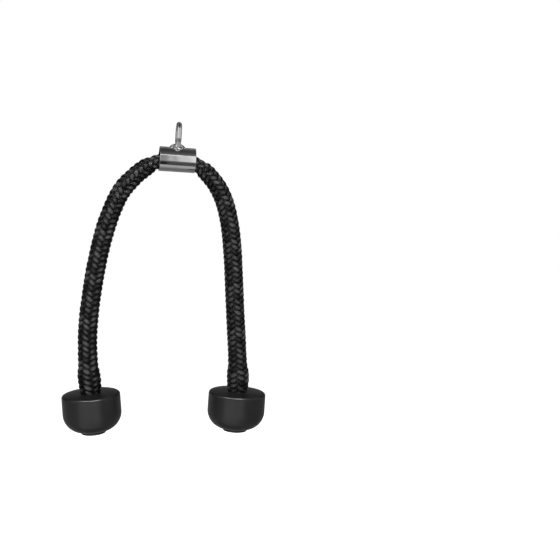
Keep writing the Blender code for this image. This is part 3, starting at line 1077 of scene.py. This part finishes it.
@dataclass(frozen=True)
class Card:
    """A card round the studio, for shine alone, in degrees up from the horizon and round from the front."""

    name: str
    low: float
    high: float
    shade: float
    start: float = 0.0
    end: float = 360.0

    def build(self, centre: Vector, reach: float) -> None:
        """Hang the card.

        Args:
            centre: The middle of the studio.
            reach: How far off the card hangs.
        """
        rows, columns = 10, 49
        heights = np.radians(np.linspace(self.low, self.high, rows))[:, None]
        turns = np.radians(np.linspace(self.start, self.end, columns))[None, :]
        ways = np.broadcast_arrays(np.cos(heights) * np.sin(turns), -np.cos(heights) * np.cos(turns),
                                   np.sin(heights))
        grid = np.stack(ways, axis=-1) * reach + np.array(centre)
        card = MeshMaker.from_grid(self.name, grid)
        shader = Shader(self.name)
        glow = shader.node("ShaderNodeEmission")
        shader.feed(glow.inputs["Color"], (self.shade, self.shade, self.shade))
        shader.feed(shader.tree.nodes["Material Output"].inputs["Surface"], glow.outputs[0])
        card.data.materials.append(shader.material)
        card.visible_camera = False
        card.visible_diffuse = False
        card.visible_shadow = False


@dataclass
class Studio:
    """The plain studio: pale floor, soft lamps, dark and light card for the shine, and the camera."""

    floor_height: float = -0.85
    floor_half: float = 6.0
    floor_colour: Colour = (0.86, 0.86, 0.86)
    floor_roughness: float = 0.9
    floor_specular: float = 0.1
    daylight: float = 0.18
    floor_glow: float = 0.86
    aim: Vector = field(default_factory=lambda: Vector((0, 0, -0.25)))
    card_reach: float = 4.0
    lens: float = 69.66
    camera_place: Triple = (-0.12915, -1.5, -0.01934)
    camera_turn_degrees: Triple = (83.073, -3.976, -10.257)
    lamps: tuple[SoftBox, ...] = (
        SoftBox("front_lamp", (-0.3, -1.95, 0.15), (1.4, 0.9), 16.0),
        SoftBox("top_lamp", (0.1, -1.2, 0.75), (0.8, 0.4), 8.0),
        SoftBox("low_front_lamp", (-0.13, -0.6, -0.6), (1.05, 0.5), 1.4, Shine.SOFT_PIECES),
        SoftBox("under_lamp", (-0.1, -0.3, -0.8), (0.6, 0.3), 0.3, Shine.SOFT_PIECES),
        SoftBox("right_strip_lamp", (0.1, -0.95, 0.85), (0.8, 0.32), 34.0, Shine.SOFT_PIECES),
        SoftBox("left_strip_lamp", (-0.7, -0.6, 0.88), (0.5, 0.32), 22.0, Shine.SOFT_PIECES),
        SoftBox("back_lamp", (0.0, 1.9, 0.5), (1.4, 0.9), 12.0),
    )
    cards: tuple[Card, ...] = (
        Card("overhead_card", 80.0, 90.0, 0.05),
        Card("higher_card", 68.0, 80.0, 0.07),
        Card("raised_card", 57.0, 68.0, 0.1),
        Card("high_card", 45.0, 57.0, 0.15),
        Card("streak_card", 42.0, 45.0, 1.9, -12.0, 9.0),
        Card("left_wall_card", 9.0, 42.0, 0.03, -180.0, -96.0),
        Card("left_horizon_card", -5.0, 9.0, 0.03, -140.0, -96.0),
        Card("left_front_card", -5.0, 42.0, 0.85, -96.0, -12.0),
        Card("front_left_card", -11.0, 42.0, 0.3, -12.0, 0.0),
        Card("front_middle_card", -11.0, 42.0, 0.6, 0.0, 2.5),
        Card("front_wall_card", -11.0, 42.0, 0.45, 2.5, 5.0),
        Card("front_right_card", -11.0, 42.0, 0.75, 5.0, 12.0),
        Card("right_front_card", -11.0, 45.0, 0.98, 12.0, 24.0),
        Card("right_wall_card", -5.0, 42.0, 0.55, 24.0, 105.0),
        Card("back_right_card", 9.0, 42.0, 0.03, 105.0, 180.0),
        Card("right_horizon_card", -5.0, 9.0, 0.03, 105.0, 140.0),
        Card("back_horizon_card", -5.0, 9.0, 0.26, 140.0, 220.0),
        Card("dark_edge_card", -20.0, -11.0, 0.19, -12.0, 24.0),
        Card("dark_card", -48.0, -20.0, 0.01, -12.0, 0.0),
        Card("dark_foot_card", -51.0, -48.0, 0.16, -12.0, 0.0),
        Card("dark_right_card", -51.0, -20.0, 0.08, 0.0, 24.0),
        Card("left_dim_card", -51.0, -5.0, 0.3, -180.0, -12.0),
        Card("right_dim_card", -51.0, -5.0, 0.22, 24.0, 180.0),
        Card("low_card", -73.0, -51.0, 0.46, -90.0, 90.0),
        Card("lower_card", -82.0, -73.0, 0.34, -90.0, 90.0),
        Card("ground_card", -90.0, -82.0, 0.25, -90.0, 90.0),
        Card("low_back_card", -90.0, -51.0, 0.17, 90.0, 270.0),
    )

    def build_floor(self) -> None:
        """The pale floor. A camera sees it white, with the attachment's soft shadow."""
        half = self.floor_half
        corners = np.array([[(-half, -half), (half, -half)], [(-half, half), (half, half)]])
        grid = np.dstack([corners, np.full((2, 2), self.floor_height)])
        floor = MeshMaker.from_grid("floor", grid)
        shader = Shader("pale_floor")
        shader.dress("Base Color", self.floor_colour)
        shader.dress("Roughness", self.floor_roughness)
        shader.dress("Specular IOR Level", self.floor_specular)
        shader.dress("Emission Color", (1, 1, 1))
        seen = shader.node("ShaderNodeLightPath").outputs["Is Camera Ray"]
        shader.dress("Emission Strength", shader.maths("MULTIPLY", seen, self.floor_glow))
        floor.data.materials.append(shader.material)
        floor.visible_glossy = False

    def build_world(self) -> None:
        """White to the eye and in metal, and a plain soft light elsewhere."""
        world = bpy.data.worlds.new("studio")
        bpy.context.scene.world = world
        world.use_nodes = True
        tree = world.node_tree
        background = tree.nodes["Background"]
        background.inputs["Color"].default_value = (1, 1, 1, 1)
        path = tree.nodes.new("ShaderNodeLightPath")
        seen = tree.nodes.new("ShaderNodeMath")
        seen.operation = "MAXIMUM"
        for ray, socket in zip(("Is Camera Ray", "Is Glossy Ray"), seen.inputs):
            tree.links.new(path.outputs[ray], socket)
        strength = tree.nodes.new("ShaderNodeMath")
        strength.operation = "MULTIPLY_ADD"
        tree.links.new(seen.outputs[0], strength.inputs[0])
        strength.inputs[1].default_value = 1 - self.daylight
        strength.inputs[2].default_value = self.daylight
        tree.links.new(strength.outputs[0], background.inputs["Strength"])

    def build_camera(self) -> None:
        """The camera, where the photograph was taken from."""
        data = bpy.data.cameras.new("camera")
        data.lens = self.lens
        camera = bpy.data.objects.new("camera", data)
        camera.location = self.camera_place
        camera.rotation_euler = Euler([radians(turn) for turn in self.camera_turn_degrees], "XYZ")
        bpy.context.scene.collection.objects.link(camera)
        bpy.context.scene.camera = camera

    @staticmethod
    def leave_out(pieces: list[bpy.types.Object]) -> bpy.types.Collection:
        """Gather pieces that some lamps don't light.

        Args:
            pieces: The pieces to leave out.

        Returns:
            The collection that such a lamp is given.
        """
        group = bpy.data.collections.new("plated_pieces")
        for piece in pieces:
            group.objects.link(piece)
        for entry in group.collection_objects:
            entry.light_linking.link_state = "EXCLUDE"
        return group

    def build(self, plated: list[bpy.types.Object]) -> None:
        """Set the studio up.

        Args:
            plated: The chromed pieces.
        """
        steel = self.leave_out(plated)
        bpy.context.scene.view_settings.view_transform = "Standard"
        self.build_world()
        self.build_floor()
        for lamp in self.lamps:
            lamp.build(self.aim, steel)
        for card in self.cards:
            card.build(self.aim, self.card_reach)
        self.build_camera()


def main() -> None:
    """Build the attachment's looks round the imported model."""
    logging.basicConfig(level=logging.INFO, format="%(name)s: %(message)s")
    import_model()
    route = RopeRoute()
    plated = Sleeve().build()
    pieces = plated + BraidedRope(route).build()
    rubber, steel = MouldedRubber().build(), PRESSED_STEEL.build()
    for side in Side:
        pieces += Stopper(route, side).build(rubber, steel)
    for piece in pieces:
        LOG.info("%s: %d points", piece.name, len(piece.data.vertices))
    Studio().build(plated)


if __name__ == "__main__":
    main()
